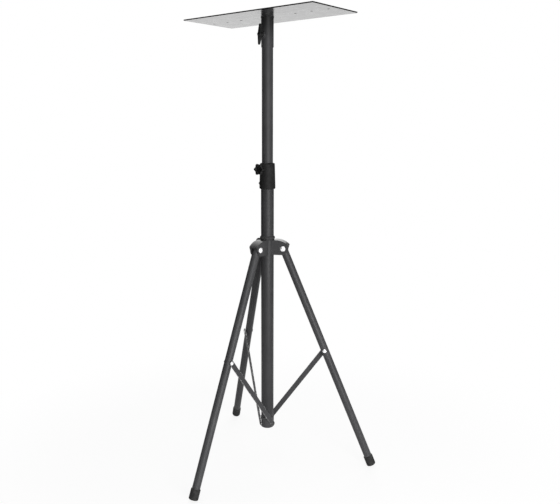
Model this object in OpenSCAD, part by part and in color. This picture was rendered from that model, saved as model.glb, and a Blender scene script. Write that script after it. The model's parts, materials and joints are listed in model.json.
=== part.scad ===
// Tripod stand with a telescopic mast and a flat top plate on a swivel socket.
// Millimetres, +Z up. The origin is on the floor under the column axis,
// +X runs along the long side of the top plate, one leg points to -Y.

/* [Tubes] */
// outer diameter of the lower tube
col_d = 41.3; // [40:0.1:41.8]
// outer diameter of the sliding upper tube
mast_d = 35; // [33:0.5:36]
// outer diameter of the leg tubes
leg_d = 25.4; // [22:0.2:26]
// wall of the steel tubes
tube_wall = 1.5; // [1.2:0.1:1.7]
// length of the upper tube
mast_len = 720; // [690:1:740]

/* [Legs] */
// distance from the leg hinge to the end of the foot
leg_len = 789; // [740:0.5:830]
// tilt of the open legs from vertical
leg_tilt = 22.5; // [20:0.5:26]
// radius of the leg hinges round the column axis
hinge_r = 52; // [51:0.5:56]
// distance from the leg hinge to the brace rivet
brace_at = 364; // [330:1:385]
// outer diameter of the rubber feet
foot_d = 30; // [28.5:0.5:32]
// length of the rubber feet
foot_len = 33.5; // [26:0.5:40]
// edge radius of the rubber feet
foot_edge = 4; // [2:0.5:6]
// web of rubber under the tube end
foot_web = 8; // [5:0.5:10]

/* [Braces] */
// width of the flat brace bars
brace_w = 16.5; // [13:0.5:18]
// thickness of the flat brace bars
brace_t = 3; // [2:0.5:4]
// height of the lower brace pivots above the floor
base_pivot_z = 129.5; // [122:0.5:140]
// flat length of a bar beyond each pivot before the crank
brace_flat = 25; // [18:1:40]

/* [Hub] */
// outer diameter of the hub sleeve
hub_d = 45.4; // [45.2:0.2:47]
// inner width of the pressed arms
arm_inner = 28; // [27.8:0.2:30]
// sheet thickness of the pressed arms
arm_sheet = 2; // [1.5:0.25:2.5]
// outer diameter of the ring on top of the hub
ring_d = 49; // [48.4:0.2:52]
// height of the ring on top of the hub
ring_h = 11.6; // [9:0.1:14]
// diameter of the hinge bolt heads
bolt_head_d = 17.5; // [14:0.5:18]
// diameter of the hinge bolts
bolt_d = 8; // [6:0.5:10]

/* [Clamp collar] */
// height of the lower rim of the collar above the floor
collar_z = 923.5; // [905:0.5:930]
// length of the collar
collar_len = 82; // [78:1:90]
// diameter of the collar near its upper rim
collar_top_d = 47.2; // [47:0.2:49]
// diameter of the collar near its lower rim
collar_low_d = 51; // [50:0.2:53]
// span of the star knob over its lobes
star_d = 38; // [34:0.5:42]
// number of lobes on the star knob
star_lobes = 6; // [5:1:7]

/* [Top plate] */
// length of the plate
plate_l = 500; // [470:1:540]
// width of the plate
plate_w = 225; // [180:1:260]
// thickness of the plate
plate_t = 3.5; // [2:0.25:5]
// corner radius of the plate
plate_corner = 3; // [2:0.5:12]
// height of the plate underside above the floor
plate_z = 1444.5; // [1420:0.5:1460]
// diameter of the screw holes
hole_d = 7; // [5:0.5:9]
// distance of the inner screw holes from the centre
hole_first = 106; // [90:1:110]
// pitch of the screw holes
hole_pitch = 59; // [40:1:59]
// outer diameter of the socket under the plate
socket_d = 38.4; // [38.4:0.2:40]
// length of the socket under the plate
socket_len = 88; // [80:0.5:95]
// span of the wing knob
wing_span = 61; // [50:1:64]
// turn of the wings from vertical
wing_turn = 4; // [-20:1:20]

/* [Hidden] */
$fn = 72;

steel_paint = [0.24, 0.24, 0.25];
black_plastic = [0.09, 0.09, 0.09];
rubber = [0.13, 0.13, 0.13];
zinc = [0.82, 0.83, 0.84];
brass = [0.72, 0.58, 0.28];
nylon = [0.86, 0.85, 0.80];

// directions of the legs and of the clamp screws round the column
az_front = 270;
az_right = 30;
az_left = 150;
az_star = 270;
az_wing = 270;
az_hub_knob = 90;
az_screw = 215;

// clearances: a running fit, a pressed fit and a free gap
run_fit = 0.05;
press_gap = 0.02;
gap = 0.3;
// overlap of cutters, and of a shank in its head
over = 1;
root = 0.5;

// leg frame: the foot edge touches the floor, which sets the hinge height
foot_in = foot_d / 2 - foot_edge;
foot_end_z = foot_in * sin(leg_tilt) + foot_edge * (1 - cos(leg_tilt));
hinge_z = leg_len * cos(leg_tilt) + foot_end_z;
leg_top = 8;
leg_tube_end = leg_len - foot_web;

// brace frame: upper pivot on the leg, lower pivot beside the column
brace_r = hinge_r + brace_at * sin(leg_tilt);
brace_z = hinge_z - brace_at * cos(leg_tilt);
brace_drop = brace_z - base_pivot_z;
brace_len = sqrt(brace_r * brace_r + brace_drop * brace_drop);
brace_lean = atan2(brace_r, brace_drop);
brace_off = 1.2;
brace_top_t = leg_d / 2 + brace_off;
pivot_d = 6;
rivet_head_d = 12.4;
rivet_head_h = 2.8;
rivet_gap = 0.1;
shoulder_d = 10.4;

// cup on the lower end of the column
cup_wall = 1.5;
cup_d = col_d + 2 * run_fit + 2 * cup_wall;
cup_floor = 3;
cup_drop = 13.6;
cup_rise = 22;
cup_bottom = base_pivot_z - cup_drop;
cup_top = base_pivot_z + cup_rise;
col_bottom = cup_bottom + cup_floor;
brace_low_t = cup_d / 2 + gap;

// collar and the end of the column in it
col_bore = col_d - 2 * tube_wall;
col_in_collar = 46;
col_top = collar_z + col_in_collar;
collar_end = collar_z + collar_len;
collar_edge = 4.2;
star_drop = 18.5;
star_z = collar_end - star_drop;
star_in = 30;
star_neck = 36;
star_neck_d = 15;
star_thick = 10;
screw_rise = 18;
screw_z = collar_z + screw_rise;
screw_d = 4;
screw_head_d = 9;
screw_head_h = 2.2;
insert_d = 12;
insert_len = 8;
insert_boss_d = 18;
stud_d = 8;
stud_play = 0.2;
pad_d = 6;
pad_reach = 2.5;
pad_out = mast_d / 2 + pad_reach;

// socket and upper tube
mast_bore = mast_d - 2 * tube_wall;
cap_room = 4;
mast_top = plate_z - cap_room;
mast_bottom = mast_top - mast_len;
bush_h = 26;
bush_spigot = 22;
bush_wall = 4;
cap_h = 3;
cap_spigot = 14;
socket_z = plate_z - socket_len;
socket_bore = mast_d + gap;
wing_drop = 53.1;
wing_z = plate_z - wing_drop;
boss_out = 25.5;
boss_d = 16;
wing_in = 30;
wing_out = 42;
wing_thick = 5.5;
wing_hub_d = 17;
wing_nose_d = 12;
wing_tip_at = 36.9;
wing_tip = 2.6;
wing_slope = 0.8;
wing_cap = 5;

// hub: outline of an arm from the hinge
arm_outer = arm_inner + 2 * arm_sheet;
hub_rise = 27.8;
hub_top = hinge_z + hub_rise;
arc_r = 56;
arc_in = 21.6;
arc_low = 0.1;
arc_x = hinge_r - arc_in;
arc_z = hub_top - arc_low - arc_r;
arm_drop = 20.3;
arm_low = hinge_z - arm_drop;
arm_toe = 16.4;
toe_in = 2;
toe_x = hinge_r - toe_in;
toe_z = arm_low + arm_toe;
arm_end_out = 18.5;
arm_end_up = 9.5;
arm_end_x = hinge_r + arm_end_out;
arm_end_z = hinge_z + arm_end_up;
hub_wall = 1.2;
hub_bore = hub_d - 2 * hub_wall;
liner_d = hub_bore - 2 * press_gap;
head_h = 4.7;
head_dimple = 3;
dimple_depth = 0.8;
nut_bore = 2.2;
hub_boss_d = 12;
hub_boss_out = 31.8;
hub_stud_d = 6;
hub_knob_drop = 2;
hub_knob_z = hinge_z - hub_knob_drop;
hub_knob_in = 32.8;
hub_knob_neck = 36.8;
hub_neck_d = 13;
hub_knob_thick = 11;
hub_knob_d = 34;
hub_knob_lobes = 6;

// shape of a hand knob, as shares of its diameter and of its thickness
lobe_share = 0.087;
core_share = 0.71;
crown_share = 0.3;
bore_share = 0.6;

// depth of the stud bore in the grip of a hand knob
function knob_bore(thick) = thick * bore_share;

// turns the part frame so that +X points along an azimuth
module towards(az)
{
    rotate([0, 0, az])
        children();
}

// a cylinder along the radius, from r0 to r1, at height z
module radial(r0, r1, d, z)
{
    translate([r0, 0, z])
        rotate([0, 90, 0])
            cylinder(h = r1 - r0, d = d);
}

// a cylinder along the tangent, from t0 to t1
module tangent(t0, t1, d)
{
    translate([0, t0, 0])
        rotate([-90, 0, 0])
            cylinder(h = t1 - t0, d = d);
}

// a round pipe from z0 to z1
module pipe(z0, z1, d_out, d_in)
{
    translate([0, 0, z0])
        difference() {
            cylinder(h = z1 - z0, d = d_out);
            translate([0, 0, -over])
                cylinder(h = z1 - z0 + 2 * over, d = d_in);
        }
}

// leg frame: origin at the hinge, +Z down the leg, +X towards the column
module leg_frame(az)
{
    towards(az)
        translate([hinge_r, 0, hinge_z])
            rotate([0, 180 - leg_tilt, 0])
                children();
}

// brace frame: origin at the leg rivet, +Z along the bar to its lower pivot
module brace_frame(az)
{
    towards(az)
        translate([brace_r, 0, brace_z])
            rotate([0, 180 + brace_lean, 0])
                children();
}

// section of a low domed head of diameter d and height h, axis along Y
module dome_section(d, h)
{
    ball = (d * d / 4 + h * h) / (2 * h);
    intersection() {
        translate([0, h - ball])
            circle(r = ball);
        square([d, h]);
    }
}

// a low domed head standing on z = 0
module dome(d, h)
{
    rotate_extrude()
        dome_section(d, h);
}

// a domed head on the tangent axis: side 1 faces +Y, side -1 faces -Y
module side_dome(side, t, d, h)
{
    translate([0, side * t, 0])
        rotate([-90 * side, 0, 0])
            dome(d, h);
}

// lobed outline of a hand knob: a round core with straight-sided, round-ended lobes
module lobed(d, lobes)
{
    lobe_r = d * lobe_share;
    core_d = d * core_share;
    ring = d / 2 - lobe_r;
    circle(d = core_d);
    for (i = [0 : lobes - 1])
        rotate([0, 0, (i + 0.5) * 360 / lobes]) {
            translate([0, -lobe_r])
                square([ring, 2 * lobe_r]);
            translate([ring, 0])
                circle(r = lobe_r);
        }
}

// crowned half section that rounds the edges of a hand knob
module crown_section(d, thick)
{
    soft = thick * crown_share;
    square([d / 2 - soft, thick]);
    translate([0, soft])
        square([d / 2, thick - 2 * soft]);
    for (z = [soft, thick - soft])
        translate([d / 2 - soft, z])
            circle(r = soft);
}

// hand knob along the radius with a neck, a lobed grip and a dished face
module hand_knob(d, lobes, neck_d, r_in, r_neck, thick, bore, z)
{
    dish_d = d / 2;
    dish = 2;
    translate([r_in, 0, z])
        rotate([0, 90, 0])
            difference() {
                union() {
                    cylinder(h = r_neck - r_in + over, d = neck_d);
                    translate([0, 0, r_neck - r_in])
                        intersection() {
                            linear_extrude(height = thick)
                                lobed(d, lobes);
                            rotate_extrude()
                                crown_section(d, thick);
                        }
                }
                translate([0, 0, r_neck - r_in + thick - dish])
                    cylinder(h = dish + over, d = dish_d);
                translate([0, 0, -over])
                    cylinder(h = r_neck - r_in + knob_bore(thick) + over, d = bore + 2 * press_gap);
            }
}

// lower tube with the hole for the collar screw
module column_tube()
{
    color(steel_paint)
        difference() {
            pipe(col_bottom, col_top, col_d, col_bore);
            towards(az_screw)
                radial(0, col_d, screw_d + 2 * press_gap, screw_z);
        }
}

// cup that closes the column and carries the lower brace pivots
module base_cup()
{
    soft = 2;
    color(steel_paint)
        difference() {
            rotate_extrude()
                polygon([
                    [0, cup_bottom], [cup_d / 2 - soft, cup_bottom],
                    [cup_d / 2, cup_bottom + soft], [cup_d / 2, cup_top], [0, cup_top]]);
            translate([0, 0, col_bottom])
                cylinder(h = cup_top, d = col_d + 2 * run_fit);
        }
}

// moulded collar: grips the column below, guides the upper tube above
module clamp_collar()
{
    low_in = collar_low_d / 2 - collar_edge;
    top_in = collar_top_d / 2 - collar_edge;
    color(black_plastic)
        difference() {
            union() {
                rotate_extrude() {
                    polygon([
                        [0, collar_z], [low_in, collar_z],
                        [collar_low_d / 2, collar_z + collar_edge],
                        [collar_top_d / 2, collar_end - collar_edge],
                        [top_in, collar_end], [0, collar_end]]);
                    translate([low_in, collar_z + collar_edge])
                        circle(r = collar_edge);
                    translate([top_in, collar_end - collar_edge])
                        circle(r = collar_edge);
                }
                towards(az_star)
                    radial(mast_d / 2, star_in - gap, insert_boss_d, star_z);
            }
            translate([0, 0, collar_z - over])
                cylinder(h = col_top - collar_z + over, d = col_d + 2 * run_fit);
            translate([0, 0, collar_z])
                cylinder(h = collar_len + over, d = mast_d + 2 * run_fit);
            towards(az_star) {
                radial(star_in - insert_len, star_in + over, insert_d + 2 * press_gap, star_z);
                radial(0, star_in, stud_d + 2 * gap, star_z);
            }
            towards(az_screw)
                radial(0, collar_low_d, screw_d + 2 * press_gap, screw_z);
        }
}

// screw that fixes the collar to the column
module collar_screw()
{
    seat = collar_low_d / 2;
    color(black_plastic)
        towards(az_screw) {
            radial(col_bore / 2 + stud_play, seat + root, screw_d, screw_z);
            translate([seat, 0, screw_z])
                rotate([0, 90, 0])
                    dome(screw_head_d, screw_head_h);
        }
}

// threaded insert for the star knob
module collar_insert()
{
    color(brass)
        towards(az_star)
            difference() {
                radial(star_in - insert_len, star_in - gap - stud_play, insert_d, star_z);
                radial(0, star_in + over, stud_d + 2 * run_fit, star_z);
            }
}

// sliding upper tube
module mast_tube()
{
    color(steel_paint)
        pipe(mast_bottom, mast_top, mast_d, mast_bore);
}

// guide bush on the lower end of the upper tube
module mast_bush()
{
    color(black_plastic)
        difference() {
            union() {
                translate([0, 0, mast_bottom - bush_h])
                    cylinder(h = bush_h, d = col_bore - 2 * run_fit);
                translate([0, 0, mast_bottom - over])
                    cylinder(h = bush_spigot + over, d = mast_bore - 2 * press_gap);
            }
            translate([0, 0, mast_bottom - bush_h - over])
                cylinder(h = bush_h + bush_spigot + 2 * over, d = mast_bore - 2 * bush_wall);
        }
}

// plug in the upper end of the upper tube
module mast_cap()
{
    color(black_plastic) {
        translate([0, 0, mast_top])
            cylinder(h = cap_h, d = mast_d - tube_wall);
        translate([0, 0, mast_top - cap_spigot])
            cylinder(h = cap_spigot + over, d = mast_bore - 2 * press_gap);
    }
}

// plate outline with rounded corners
module plate_outline()
{
    square([plate_l - 2 * plate_corner, plate_w], center = true);
    square([plate_l, plate_w - 2 * plate_corner], center = true);
    for (sx = [-1, 1])
        for (sy = [-1, 1])
            translate([sx * (plate_l / 2 - plate_corner), sy * (plate_w / 2 - plate_corner)])
                circle(r = plate_corner);
}

// flat plate with one row of six screw holes
module top_plate()
{
    color(steel_paint)
        translate([0, 0, plate_z])
            linear_extrude(height = plate_t)
                difference() {
                    plate_outline();
                    for (side = [-1, 1])
                        for (i = [0 : 2])
                            translate([side * (hole_first + i * hole_pitch), 0])
                                circle(d = hole_d);
                }
}

// sleeve welded under the plate that slips over the upper tube
module plate_socket()
{
    color(steel_paint)
        difference() {
            pipe(socket_z, plate_z, socket_d, socket_bore);
            towards(az_wing)
                radial(0, socket_d, stud_d + 2 * gap, wing_z);
        }
}

// threaded boss welded on the socket
module socket_boss()
{
    color(steel_paint)
        difference() {
            towards(az_wing)
                radial(0, boss_out, boss_d, wing_z);
            translate([0, 0, socket_z])
                cylinder(h = socket_len, d = socket_d);
            towards(az_wing)
                radial(0, boss_out + over, stud_d + 2 * run_fit, wing_z);
        }
}

// side outline of the two wings, X along the span and Y along the screw
module wing_outline()
{
    reach = wing_span / 2 - wing_tip;
    for (side = [0, 1])
        mirror([side, 0]) {
            polygon([
                [0, wing_in], [reach, wing_tip_at - wing_tip],
                [reach, wing_tip_at + wing_tip], [0, wing_out - wing_slope]]);
            translate([reach, wing_tip_at])
                circle(r = wing_tip);
        }
}

// wing knob of the plate socket
module wing_knob()
{
    color(black_plastic)
        towards(az_wing)
            translate([0, 0, wing_z])
                difference() {
                    rotate([wing_turn, 0, 0])
                        union() {
                            translate([boss_out + gap, 0, 0])
                                rotate([0, 90, 0])
                                    cylinder(h = wing_out - boss_out - gap, d1 = wing_hub_d,
                                        d2 = wing_nose_d);
                            translate([0, wing_thick / 2, 0])
                                rotate([90, -90, 0])
                                    linear_extrude(height = wing_thick)
                                        mirror([0, 1])
                                            wing_outline();
                        }
                    radial(0, wing_out - wing_cap, stud_d + 2 * press_gap, 0);
                }
}

// threaded stud of the wing knob
module wing_stud()
{
    color(zinc)
        towards(az_wing)
            radial(pad_out, wing_out - wing_cap - stud_play, stud_d, wing_z);
}

// pressure pad on the stud of the wing knob
module wing_pad()
{
    color(nylon)
        towards(az_wing)
            radial(mast_d / 2 + gap, pad_out, pad_d, wing_z);
}

// star knob of the collar
module star_knob()
{
    color(black_plastic)
        towards(az_star)
            hand_knob(star_d, star_lobes, star_neck_d, star_in, star_neck, star_thick,
                stud_d, star_z);
}

// threaded stud of the star knob
module star_stud()
{
    color(zinc)
        towards(az_star)
            radial(pad_out, star_neck + knob_bore(star_thick) - stud_play, stud_d, star_z);
}

// pressure pad on the stud of the star knob
module star_pad()
{
    color(nylon)
        towards(az_star)
            radial(mast_d / 2 + gap, pad_out, pad_d, star_z);
}

// sleeve of the sliding hub
module hub_sleeve()
{
    color(steel_paint)
        difference() {
            pipe(arm_low, hub_top, hub_d, hub_bore);
            towards(az_hub_knob)
                radial(0, hub_d, hub_stud_d + 2 * gap, hub_knob_z);
        }
}

// moulded bush: liner in the hub sleeve with a rounded ring on top
module hub_bush()
{
    bead = ring_h / 2;
    color(black_plastic)
        difference() {
            rotate_extrude() {
                translate([0, arm_low])
                    square([liner_d / 2, hub_top - arm_low + over]);
                translate([0, hub_top])
                    square([ring_d / 2 - bead, ring_h]);
                translate([ring_d / 2 - bead, hub_top + bead])
                    circle(r = bead);
            }
            translate([0, 0, arm_low - over])
                cylinder(h = hub_top + ring_h, d = col_d + 2 * run_fit);
            towards(az_hub_knob)
                radial(0, hub_d, hub_stud_d + 2 * gap, hub_knob_z);
        }
}

// side outline of an arm: arched back, rounded toe round the hinge
module arm_outline()
{
    translate([0, arm_low])
        square([toe_x, arm_toe]);
    translate([toe_x, toe_z])
        circle(r = arm_toe);
    intersection() {
        translate([arc_x, arc_z])
            circle(r = arc_r);
        polygon([
            [0, toe_z], [toe_x + arm_toe, toe_z], [arm_end_x, arm_end_z],
            [arm_end_x, arc_z + arc_r], [0, arc_z + arc_r]]);
    }
}

// room for the leg under the arched back
module arm_room()
{
    translate([arc_x, arc_z])
        circle(r = arc_r - arm_sheet);
}

// pressed steel arm, a channel open below and at its outer end
module hub_arm(az)
{
    color(steel_paint)
        towards(az)
            difference() {
                translate([0, arm_outer / 2, 0])
                    rotate([90, 0, 0])
                        linear_extrude(height = arm_outer)
                            arm_outline();
                translate([0, arm_inner / 2, 0])
                    rotate([90, 0, 0])
                        linear_extrude(height = arm_inner)
                            arm_room();
                translate([0, 0, arm_low - over])
                    cylinder(h = hub_top, d = hub_d);
                translate([-hub_d, -arm_outer, arm_low - over])
                    cube([hub_d, 2 * arm_outer, hub_top - arm_low + 2 * over]);
                translate([hinge_r, 0, hinge_z])
                    tangent(-arm_outer, arm_outer, bolt_d + 2 * press_gap);
            }
}

module hub_arm_front() { hub_arm(az_front); }

module hub_arm_right() { hub_arm(az_right); }

module hub_arm_left() { hub_arm(az_left); }

// threaded boss for the hub knob
module hub_boss()
{
    color(steel_paint)
        difference() {
            towards(az_hub_knob)
                radial(0, hub_boss_out, hub_boss_d, hub_knob_z);
            translate([0, 0, arm_low - over])
                cylinder(h = hub_top, d = hub_d);
            towards(az_hub_knob)
                radial(0, hub_boss_out + over, hub_stud_d + 2 * run_fit, hub_knob_z);
        }
}

// three hinge bolts with dimpled domed heads
module hinge_bolts()
{
    seat = arm_outer / 2;
    color(zinc)
        for (az = [az_front, az_right, az_left])
            towards(az)
                translate([hinge_r, 0, hinge_z])
                    difference() {
                        union() {
                            tangent(-seat - root, seat + nut_bore - stud_play, bolt_d);
                            side_dome(-1, seat, bolt_head_d, head_h);
                        }
                        tangent(-seat - head_h - over, -seat - head_h + dimple_depth, head_dimple);
                    }
}

// three domed nuts on the hinge bolts
module hinge_nuts()
{
    seat = arm_outer / 2;
    color(zinc)
        for (az = [az_front, az_right, az_left])
            towards(az)
                translate([hinge_r, 0, hinge_z])
                    difference() {
                        side_dome(1, seat, bolt_head_d, head_h);
                        tangent(seat - over, seat + nut_bore, bolt_d + 2 * press_gap);
                    }
}

// hand knob that locks the hub on the column
module hub_knob()
{
    color(black_plastic)
        towards(az_hub_knob)
            hand_knob(hub_knob_d, hub_knob_lobes, hub_neck_d, hub_knob_in, hub_knob_neck,
                hub_knob_thick, hub_stud_d, hub_knob_z);
}

// threaded stud of the hub knob
module hub_stud()
{
    color(zinc)
        towards(az_hub_knob)
            radial(col_d / 2 + gap, hub_knob_neck + knob_bore(hub_knob_thick) - stud_play,
                hub_stud_d, hub_knob_z);
}

// leg tube with the hinge hole and the rivet hole
module leg(az)
{
    color(steel_paint)
        leg_frame(az)
            difference() {
                pipe(-leg_top, leg_tube_end, leg_d, leg_d - 2 * tube_wall);
                tangent(-leg_d, leg_d, bolt_d + 2 * run_fit);
                translate([0, 0, brace_at])
                    tangent(-leg_d, leg_d, pivot_d + 2 * press_gap);
            }
}

module leg_front() { leg(az_front); }

module leg_right() { leg(az_right); }

module leg_left() { leg(az_left); }

// rubber cap on the lower end of a leg
module foot(az)
{
    rim = 1.2;
    color(rubber)
        leg_frame(az)
            translate([0, 0, leg_len - foot_len])
                difference() {
                    rotate_extrude() {
                        polygon([
                            [0, 0], [foot_d / 2 - rim, 0], [foot_d / 2, rim],
                            [foot_d / 2, foot_len - foot_edge], [0, foot_len - foot_edge]]);
                        translate([0, foot_len - foot_edge - over])
                            square([foot_in, foot_edge + over]);
                        translate([foot_in, foot_len - foot_edge])
                            circle(r = foot_edge);
                    }
                    translate([0, 0, -over])
                        cylinder(h = foot_len - foot_web + over, d = leg_d + 2 * press_gap);
                }
}

module foot_front() { foot(az_front); }

module foot_right() { foot(az_right); }

module foot_left() { foot(az_left); }

// shouldered rivet that carries a brace on its leg
module leg_rivet(az)
{
    outer = brace_top_t + brace_t + run_fit;
    bed = leg_d / 2 + rivet_gap;
    color(zinc)
        leg_frame(az)
            translate([0, 0, brace_at]) {
                tangent(-bed - root, outer + root, pivot_d);
                tangent(bed, brace_top_t - run_fit, shoulder_d);
                side_dome(1, outer, rivet_head_d, rivet_head_h);
                side_dome(-1, bed, rivet_head_d, rivet_head_h);
            }
}

module leg_rivet_front() { leg_rivet(az_front); }

module leg_rivet_right() { leg_rivet(az_right); }

module leg_rivet_left() { leg_rivet(az_left); }

// outline of a brace bar, rounded at both pivots
module brace_outline()
{
    for (end = [0, brace_len])
        translate([0, end])
            circle(d = brace_w);
    translate([-brace_w / 2, 0])
        square([brace_w, brace_len]);
}

// edge of a brace bar: two flats joined by a slight crank
module brace_edge()
{
    end = brace_w;
    polygon([
        [brace_top_t, -end], [brace_top_t, brace_flat],
        [brace_low_t, brace_len - brace_flat], [brace_low_t, brace_len + end],
        [brace_low_t + brace_t, brace_len + end], [brace_low_t + brace_t, brace_len - brace_flat],
        [brace_top_t + brace_t, brace_flat], [brace_top_t + brace_t, -end]]);
}

// flat brace bar between a leg and the foot of the column
module brace(az)
{
    reach = brace_low_t + brace_t + over;
    color(steel_paint)
        brace_frame(az)
            difference() {
                intersection() {
                    translate([-brace_w, 0, 0])
                        rotate([90, 0, 90])
                            linear_extrude(height = 2 * brace_w)
                                brace_edge();
                    translate([0, reach, 0])
                        rotate([90, 0, 0])
                            linear_extrude(height = reach)
                                brace_outline();
                }
                tangent(0, reach, pivot_d + 2 * run_fit);
                translate([0, 0, brace_len])
                    tangent(0, reach, pivot_d + 2 * press_gap);
            }
}

module brace_front() { brace(az_front); }

module brace_right() { brace(az_right); }

module brace_left() { brace(az_left); }

// headed pin in the lower end of a brace
module base_pin(az)
{
    outer = brace_low_t + brace_t;
    color(black_plastic)
        brace_frame(az)
            translate([0, 0, brace_len]) {
                tangent(brace_low_t, outer + root, pivot_d);
                side_dome(1, outer, rivet_head_d, rivet_head_h);
            }
}

module base_pin_front() { base_pin(az_front); }

module base_pin_right() { base_pin(az_right); }

module base_pin_left() { base_pin(az_left); }

column_tube();
base_cup();
clamp_collar();
collar_screw();
collar_insert();
mast_tube();
mast_bush();
mast_cap();
top_plate();
plate_socket();
socket_boss();
wing_knob();
wing_stud();
wing_pad();
star_knob();
star_stud();
star_pad();
hub_sleeve();
hub_bush();
hub_arm_front();
hub_arm_right();
hub_arm_left();
hub_boss();
hinge_bolts();
hinge_nuts();
hub_knob();
hub_stud();
leg_front();
leg_right();
leg_left();
foot_front();
foot_right();
foot_left();
leg_rivet_front();
leg_rivet_right();
leg_rivet_left();
brace_front();
brace_right();
brace_left();
base_pin_front();
base_pin_right();
base_pin_left();
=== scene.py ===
import json
import math

import bmesh
import bpy
from mathutils import Matrix, Vector


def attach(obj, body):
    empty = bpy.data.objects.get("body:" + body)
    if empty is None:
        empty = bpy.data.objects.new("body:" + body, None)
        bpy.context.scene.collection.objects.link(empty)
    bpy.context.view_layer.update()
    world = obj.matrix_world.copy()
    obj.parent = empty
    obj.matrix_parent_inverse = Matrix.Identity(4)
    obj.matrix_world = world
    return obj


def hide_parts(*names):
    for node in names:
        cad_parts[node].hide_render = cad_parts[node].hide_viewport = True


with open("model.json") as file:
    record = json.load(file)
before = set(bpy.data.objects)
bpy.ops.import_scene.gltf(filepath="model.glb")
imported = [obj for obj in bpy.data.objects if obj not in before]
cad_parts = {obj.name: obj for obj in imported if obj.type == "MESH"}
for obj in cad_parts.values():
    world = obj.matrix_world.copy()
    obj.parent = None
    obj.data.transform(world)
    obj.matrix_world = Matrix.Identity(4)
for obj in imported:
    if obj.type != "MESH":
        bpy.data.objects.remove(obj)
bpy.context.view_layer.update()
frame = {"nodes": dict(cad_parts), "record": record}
nodes = frame["nodes"]
record = frame["record"]
bodyOf = {n: body for body, names in record["behaviour"]["bodies"].items() for n in names}
slotOf = {row["node"]: row["material_slot"] for row in record["subparts"]}
jointPlace = {joint["name"]: joint.get("pos_m") for joint in record["behaviour"]["joints"]}
legAzimuth = {"front": 270.0, "right": 30.0, "left": 150.0}    # from +X, degrees
scene = bpy.context.scene

# camera, as the photograph was taken

cameraSettings = {
    "distance": 2.09342,    # from the column axis, along the floor
    "height": 1.12297,
    "azimuth": 39.60,       # from -Y towards +X, degrees
    "pitch": 10.926,        # looking down, degrees
    "focalPixels": 657.74,
    "imageWidth": 560,
    "axisPixel": 267.41,    # image column of the mast
    "sensor": 36.0,
}


def aimFrom(azimuth, pitch):
    a, p = math.radians(azimuth), math.radians(pitch)
    return Vector((-math.sin(a) * math.cos(p), math.cos(a) * math.cos(p), -math.sin(p)))


def placeRound(azimuth, distance, height):
    a = math.radians(azimuth)
    return Vector((distance * math.sin(a), -distance * math.cos(a), height))


def makeCamera(s):
    lens = bpy.data.cameras.new("standCamera")
    lens.sensor_fit = "HORIZONTAL"
    lens.sensor_width = s["sensor"]
    lens.lens = s["sensor"] * s["focalPixels"] / s["imageWidth"]
    lens.shift_x = (s["imageWidth"] / 2 - s["axisPixel"]) / s["imageWidth"]
    cam = bpy.data.objects.new("standCamera", lens)
    scene.collection.objects.link(cam)
    cam.location = placeRound(s["azimuth"], s["distance"], s["height"])
    cam.rotation_mode = "QUATERNION"
    cam.rotation_quaternion = aimFrom(s["azimuth"], s["pitch"]).to_track_quat("-Z", "Y")
    scene.camera = cam


makeCamera(cameraSettings)
scene.view_settings.view_transform = "Standard"
print("camera placed")

# small helpers for meshes and node trees

nodeGrid = {"rows": 4, "across": 220.0, "down": 280.0}    # nodes stand in columns, in the order they are made
mixSockets = (0, 6, 7)                                    # of a colour mix: its factor and its two colours
mixResult = 2


def grey(level):
    return (level, level, level, 1.0)


def meshObject(bm, name):
    mesh = bpy.data.meshes.new(name)
    bm.to_mesh(mesh)
    bm.free()
    made = bpy.data.objects.new(name, mesh)
    scene.collection.objects.link(made)
    return made


def addNode(tree, kind, **settings):
    column, row = divmod(len(tree.nodes), nodeGrid["rows"])
    made = tree.nodes.new(kind)
    made.location = (column * nodeGrid["across"], -row * nodeGrid["down"])
    for key, value in settings.items():
        setattr(made, key, value)
    return made


def setInputs(made, **values):
    for key, value in values.items():
        made.inputs[key.replace("_", " ")].default_value = value


def join(tree, source, target):
    tree.links.new(source, target)


def feed(tree, value, socket):
    # a number or a colour is set on the socket, and an output is joined to it
    if isinstance(value, (int, float, tuple)):
        socket.default_value = value
    else:
        join(tree, value, socket)


def mathNode(tree, operation, *values, clamp=False):
    made = addNode(tree, "ShaderNodeMath", operation=operation, use_clamp=clamp)
    for value, socket in zip(values, made.inputs):
        feed(tree, value, socket)
    return made.outputs[0]


def mixColor(tree, factor, first, second):
    made = addNode(tree, "ShaderNodeMix", data_type="RGBA")
    for value, index in zip((factor, first, second), mixSockets):
        feed(tree, value, made.inputs[index])
    return made.outputs[mixResult]


def rampNode(tree, value, span, out=(0.0, 1.0)):
    made = addNode(tree, "ShaderNodeMapRange", clamp=True, interpolation_type="SMOOTHSTEP")
    setInputs(made, From_Min=span[0], From_Max=span[1], To_Min=out[0], To_Max=out[1])
    join(tree, value, made.inputs["Value"])
    return made.outputs["Result"]


def noiseNode(tree, vector, noise):
    made = addNode(tree, "ShaderNodeTexNoise")
    for value, label in zip(noise, ("Scale", "Detail", "Roughness")):
        feed(tree, value, made.inputs[label])
    join(tree, vector, made.inputs["Vector"])
    return made.outputs["Fac"]


def objectPlace(tree):
    return addNode(tree, "ShaderNodeTexCoord").outputs["Object"]


def upPart(tree, vector):
    split = addNode(tree, "ShaderNodeSeparateXYZ")
    join(tree, vector, split.inputs[0])
    return split.outputs["Z"]


def surfaceNormal(tree):
    return addNode(tree, "ShaderNodeNewGeometry").outputs["Normal"]


def lightPathWhite(tree):
    # 1 for rays that show the surroundings as they are: camera, gloss and glass
    path = addNode(tree, "ShaderNodeLightPath").outputs
    seen = mathNode(tree, "MAXIMUM", path["Is Camera Ray"], path["Is Glossy Ray"])
    return mathNode(tree, "MAXIMUM", seen, path["Is Transmission Ray"])


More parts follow.
